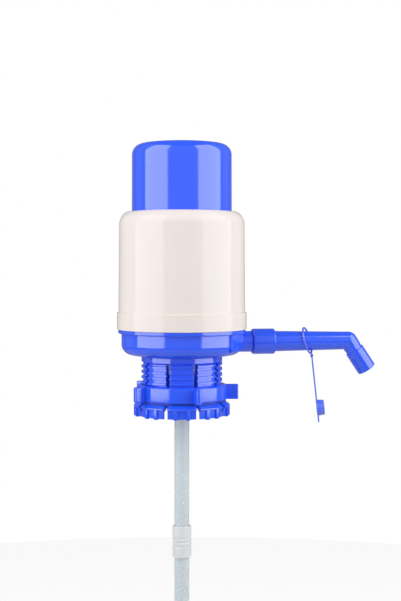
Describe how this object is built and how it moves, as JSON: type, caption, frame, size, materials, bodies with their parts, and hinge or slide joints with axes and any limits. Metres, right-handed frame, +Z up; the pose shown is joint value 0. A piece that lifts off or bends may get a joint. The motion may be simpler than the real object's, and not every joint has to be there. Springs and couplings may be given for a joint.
{
  "type": "water jug hand pump",
  "caption": "Press-top hand pump for a large water bottle: sliding cap, bellows body, side spout with hanging stopper, screw-down neck clamp and long dip tube.",
  "frame": {"origin": "on the pump's axis, in the plane where the bottle's mouth meets the neck gasket", "axes": "+Z up along the pump's axis, towards the press cap; +X along the spout's level tube, away from the body"},
  "size_m": [0.205, 0.101, 0.6241],
  "materials": {
    "blue_plastic": "glossy moulded",
    "white_plastic": "glossy moulded, warm white",
    "soft_blue_plastic": "soft moulded",
    "slip_plastic": "dull",
    "inner_plastic": "plain moulded",
    "tube_plastic": "milky extruded",
    "rubber": "food-grade silicone",
    "steel": "stainless"
  },
  "bodies": {
    "root": {"base_bowl": "blue_plastic", "outer_shell": "white_plastic", "neck_collet": "blue_plastic", "neck_gasket": "rubber", "collet_screws": "steel", "valve_plate": "inner_plastic", "bellows": "rubber", "bellows_foot_ring": "inner_plastic", "foot_ring_screws": "steel", "return_spring": "steel", "spout_o_ring": "rubber", "dip_tube_upper": "tube_plastic", "tube_joiner_upper": "tube_plastic", "dip_tube_middle": "tube_plastic", "tube_joiner_lower": "tube_plastic", "dip_tube_lower": "tube_plastic", "tube_foot": "tube_plastic"},
    "cap": {"press_cap": "blue_plastic", "bellows_top_plate": "inner_plastic", "bellows_top_ring": "inner_plastic", "top_ring_screws": "steel"},
    "inlet_valve": {"inlet_valve": "rubber"},
    "outlet_valve": {"outlet_valve": "rubber"},
    "slip_ring": {"slip_ring": "slip_plastic"},
    "clamp_nut": {"clamp_nut": "blue_plastic"},
    "spout": {"spout_coupling": "blue_plastic", "spout": "blue_plastic", "nozzle_sleeve": "blue_plastic"},
    "strap_loop": {"strap_loop": "soft_blue_plastic"},
    "stopper": {"stopper": "soft_blue_plastic"}
  },
  "joints": [
    {"name": "press_stroke", "type": "slide", "parent": "root", "child": "cap", "axis": [0, 0, -1], "range_m": [0, 0.045], "stiffness_N_per_m": 900, "springref_m": -0.012, "deforming": ["bellows", "return_spring"]},
    {"name": "inlet_valve_lift", "type": "slide", "parent": "cap", "child": "inlet_valve", "axis": [0, 0, -1], "range_m": [0, 0.0012], "stiffness_N_per_m": 40, "springref_m": -0.0005},
    {"name": "outlet_valve_lift", "type": "slide", "parent": "root", "child": "outlet_valve", "axis": [0, 0, -1], "range_m": [0, 0.0012], "stiffness_N_per_m": 40, "springref_m": -0.0005},
    {"name": "nut_travel", "type": "slide", "parent": "root", "child": "slip_ring", "axis": [0, 0, 1], "range_m": [0, 0.0127]},
    {"name": "nut_turn", "type": "hinge", "parent": "slip_ring", "child": "clamp_nut", "pos_m": [0, 0, -0.024], "axis": [0, 0, 1], "range_deg": [0, 1080]},
    {"name": "spout_swivel", "type": "hinge", "parent": "root", "child": "spout", "pos_m": [0.0606, 0, 0.0136], "axis": [1, 0, 0], "continuous": true},
    {"name": "loop_slide", "type": "slide", "parent": "spout", "child": "strap_loop", "axis": [1, 0, 0], "range_m": [-0.01, 0.014]},
    {"name": "stopper_swing", "type": "hinge", "parent": "strap_loop", "child": "stopper", "pos_m": [0.10369, 0, 0.00182], "axis": [-0.2588, -0.9659, 0], "range_deg": [-35, 40]}
  ],
  "couplings": [
    {"joint": "nut_travel", "follows": "nut_turn", "m_per_rad": 0.00066845}
  ]
}
